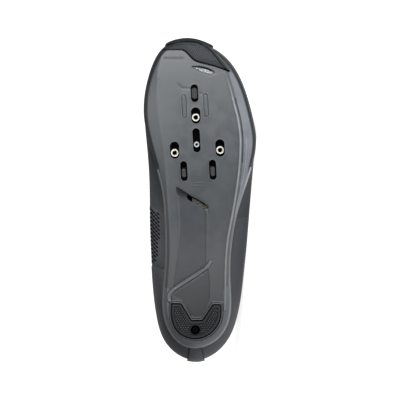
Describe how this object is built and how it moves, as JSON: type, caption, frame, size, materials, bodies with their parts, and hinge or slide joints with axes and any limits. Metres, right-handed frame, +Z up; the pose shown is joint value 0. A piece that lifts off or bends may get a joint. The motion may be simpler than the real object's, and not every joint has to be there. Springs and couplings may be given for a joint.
{
  "type": "cycling shoe",
  "caption": "Road cycling shoe for the left foot, lying on its outer side: stiff cupped sole with cleat slots and vents, rubber toe and heel pads, black upper with hook-and-loop straps.",
  "frame": {"origin": "centre of the bounding box in plan, on the floor that the shoe lies on", "axes": "+X from heel to toe, +Y from the sole towards the collar, +Z up, from the outer side of the foot to the inner side"},
  "size_m": [0.2836, 0.1216, 0.1001],
  "materials": {
    "sole_composite": "moulded nylon composite, satin",
    "pad_rubber": "black moulded rubber, matte, fine hexagon texture",
    "toe_rubber": "blue-grey moulded rubber, matte, fine hexagon texture",
    "guard_rubber": "black rubber, matte",
    "upper_microfibre": "black microfibre synthetic leather, low sheen",
    "counter_coating": "coated grey-black overlay, satin",
    "strap_microfibre": "black coated microfibre, low sheen",
    "tongue_textile": "black padded textile",
    "insole_textile": "dark grey textile over foam",
    "nut_steel": "nickel plated, satin",
    "screw_steel": "blackened steel",
    "vent_mesh": "woven steel mesh"
  },
  "bodies": {
    "root": {"outsole": "sole_composite", "heel_pad": "pad_rubber", "toe_pad": "toe_rubber", "toe_guard": "guard_rubber", "heel_pad_screw": "screw_steel", "cleat_nut_front": "nut_steel", "cleat_nut_medial": "nut_steel", "cleat_nut_lateral": "nut_steel", "centre_nut": "nut_steel", "toe_vent_mesh": "vent_mesh", "mid_vent_mesh": "vent_mesh", "upper": "upper_microfibre", "heel_counter": "counter_coating", "heel_strip": "counter_coating", "strap_front": "strap_microfibre", "strap_middle": "strap_microfibre", "strap_top": "strap_microfibre", "tongue": "tongue_textile", "insole": "insole_textile"}
  },
  "joints": []
}
